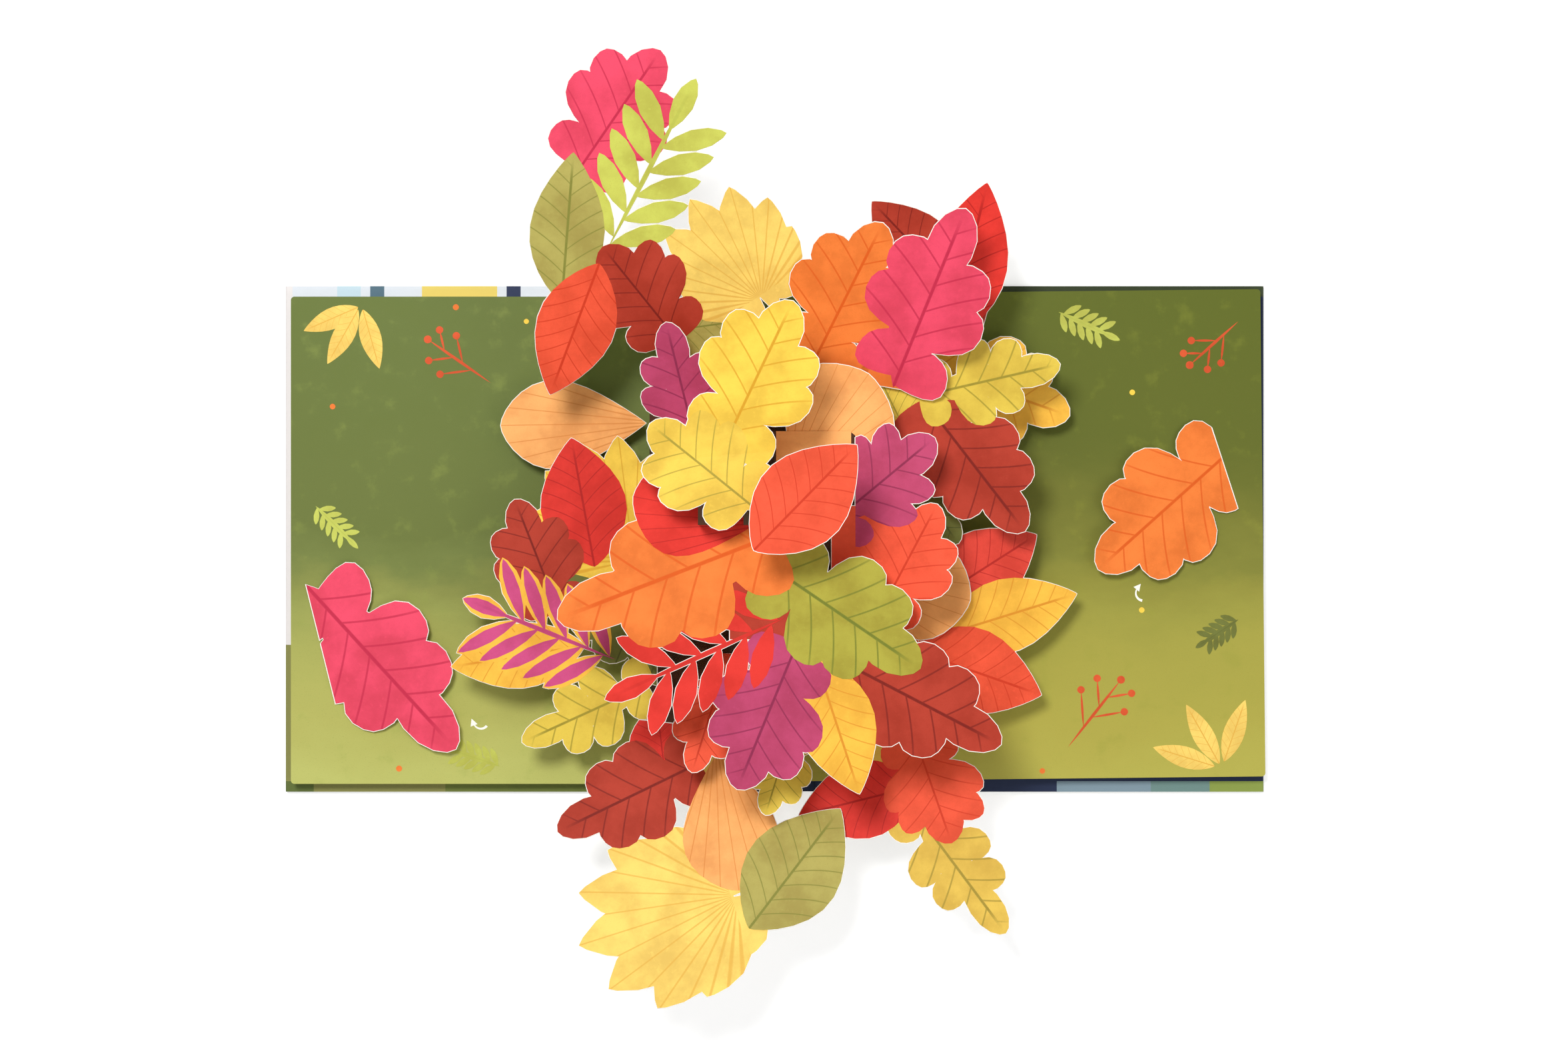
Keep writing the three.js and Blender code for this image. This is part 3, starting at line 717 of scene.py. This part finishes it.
leaf_card("leaf_platform", fold=(0, 0), out=0, tilt=0, top=top_of("leaf_platform"),
          leaves=[("brick", "oak", (25, -50), (96, -87), 47),
                  ("amber", "beech", (17, -50), (36, -108), 34),
                  ("purple", "oak", (10, -43), (-16, -106), 50),
                  ("red", "fern", (5, -33), (-72, -68), 44),
                  ("olive_green", "oak", (-4, -10), (62, -55), 52),
                  ("orange", "oak", (6, 4), (-92, -34), 58),
                  ("red", "fan", (-5, 8), (-60, 18), 44)],
          links=[(-18, 18, -40, 18)])
leaf_card("leaf_card_upper", fold=(-15, 34), out=95, tilt=8,
          top=top_of("upper_strut_left") + glue + card_thickness,
          leaves=[("yellow", "oak", (-23, 36), (8, 101), 52),
                  ("mustard_yellow", "oak", (-7, 12), (-53, 49), 46)],
          flat=True)
leaf_card("leaf_card_tip", fold=(13, 17), out=45, tilt=0, top=top_of("leaf_card_tip"),
          leaves=[("orange_red", "beech", (-9, -5), (35, 40), 40)])
leaf_card("lift_flap_left", fold=(-195.5, -29), out=14, tilt=5, top=page_top / mm + glue + card_thickness,
          leaves=[("crimson", "oak", (-198.5, -19), (-134.5, -89), 54)])
leaf_card("lift_flap_right", fold=(188.5, 35), out=198, tilt=5, top=page_top / mm + glue + card_thickness,
          leaves=[("orange", "oak", (193.5, 38), (136.5, -13), 52)])


# Small prints of the pages: slim leaves, ferns, berry sprigs and dots of a plain pattern, and a curved
# arrow by each lift flap. They are ink on the page, so they have no white edge.
page = {"fold": (0, 0), "out": 0, "tilt": 0, "top": page_top / mm, "slot": "pages", "edge": 0}
small_prints = [
    ("pale_yellow", "beech", (-176, 98), (-199, 88), 9), ("pale_yellow", "beech", (-176, 97), (-189, 74), 9),
    ("pale_yellow", "beech", (-174, 97), (-167, 72), 9), ("sprig_red", "sprig", (-120, 66), (-146, 84), 17),
    ("leaf_lime", "fern", (-194, 14), (-176, -4), 11), ("leaf_lime", "fern", (-116, -96), (-140, -88), 12),
    ("pale_yellow", "beech", (186, -96), (160, -88), 9), ("pale_yellow", "beech", (188, -95), (174, -70), 9),
    ("pale_yellow", "beech", (190, -94), (199, -68), 9), ("sprig_red", "sprig", (124, -88), (146, -60), 20),
    ("leaf_lime", "fern", (120, 96), (146, 84), 13), ("dark_olive", "fern", (196, -34), (178, -46), 11),
    ("sprig_red", "sprig", (196, 92), (176, 74), 15), ("orange", "dot", (-136, 98), (-133.4, 98), 2.6),
    ("orange", "dot", (-188, 56), (-185.6, 56), 2.4), ("yellow", "dot", (-106, 92), (-103.8, 92), 2.2),
    ("orange", "dot", (-160, -97), (-157.4, -97), 2.6), ("yellow", "dot", (150, 62), (152.4, 62), 2.4),
    ("orange", "dot", (112, -98), (114.4, -98), 2.4), ("yellow", "dot", (154, -30), (156.4, -30), 2.4),
]
for order, (colour, kind, base, tip, width) in enumerate(small_prints):
    print_leaf({**page, "name": f"page_print_{order}"}, order % 3, colour, kind, base, tip, width)


def curved_arrow(name, x, y, turn):
    """A shaft that bends through 120 degrees and gets thicker, with a three cornered head at its start."""
    radius, thin, growth = 3.6, 0.5, 0.06
    bend = [math.radians(12 * i) for i in range(11)]
    outer = [(radius * math.cos(a), radius * math.sin(a)) for a in bend]
    inner = [radius - thin - growth * i for i in range(11)]
    shaft = outer + [(r * math.cos(a), r * math.sin(a)) for r, a in zip(inner, bend)][::-1]
    head = [(3.5, -2.4), (5.0, 0.6), (1.9, 0.6)]
    piece = skin(name, [shaft, head], sunk + ink_depth)
    map_sheet(piece, 10)
    lay_on_card(piece, page, math.radians(turn), (x, y))
    piece.data.materials.append(white_ink)
    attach(piece, "root")


def white_ink_finish():
    finish = Finish("white_ink")
    fibre = finish.noise(1900, 2)
    colour = finish.blend(ink("FBFAF2"), ink("E4E6CF"), fibre.step(0.5, 0.8) * 0.5)
    return finish.paper(colour, 0.5 + fibre * 0.1, fibre)


white_ink = white_ink_finish()
curved_arrow("arrow_left", -124, -77, 200)
curved_arrow("arrow_right", 156, -23, 140)
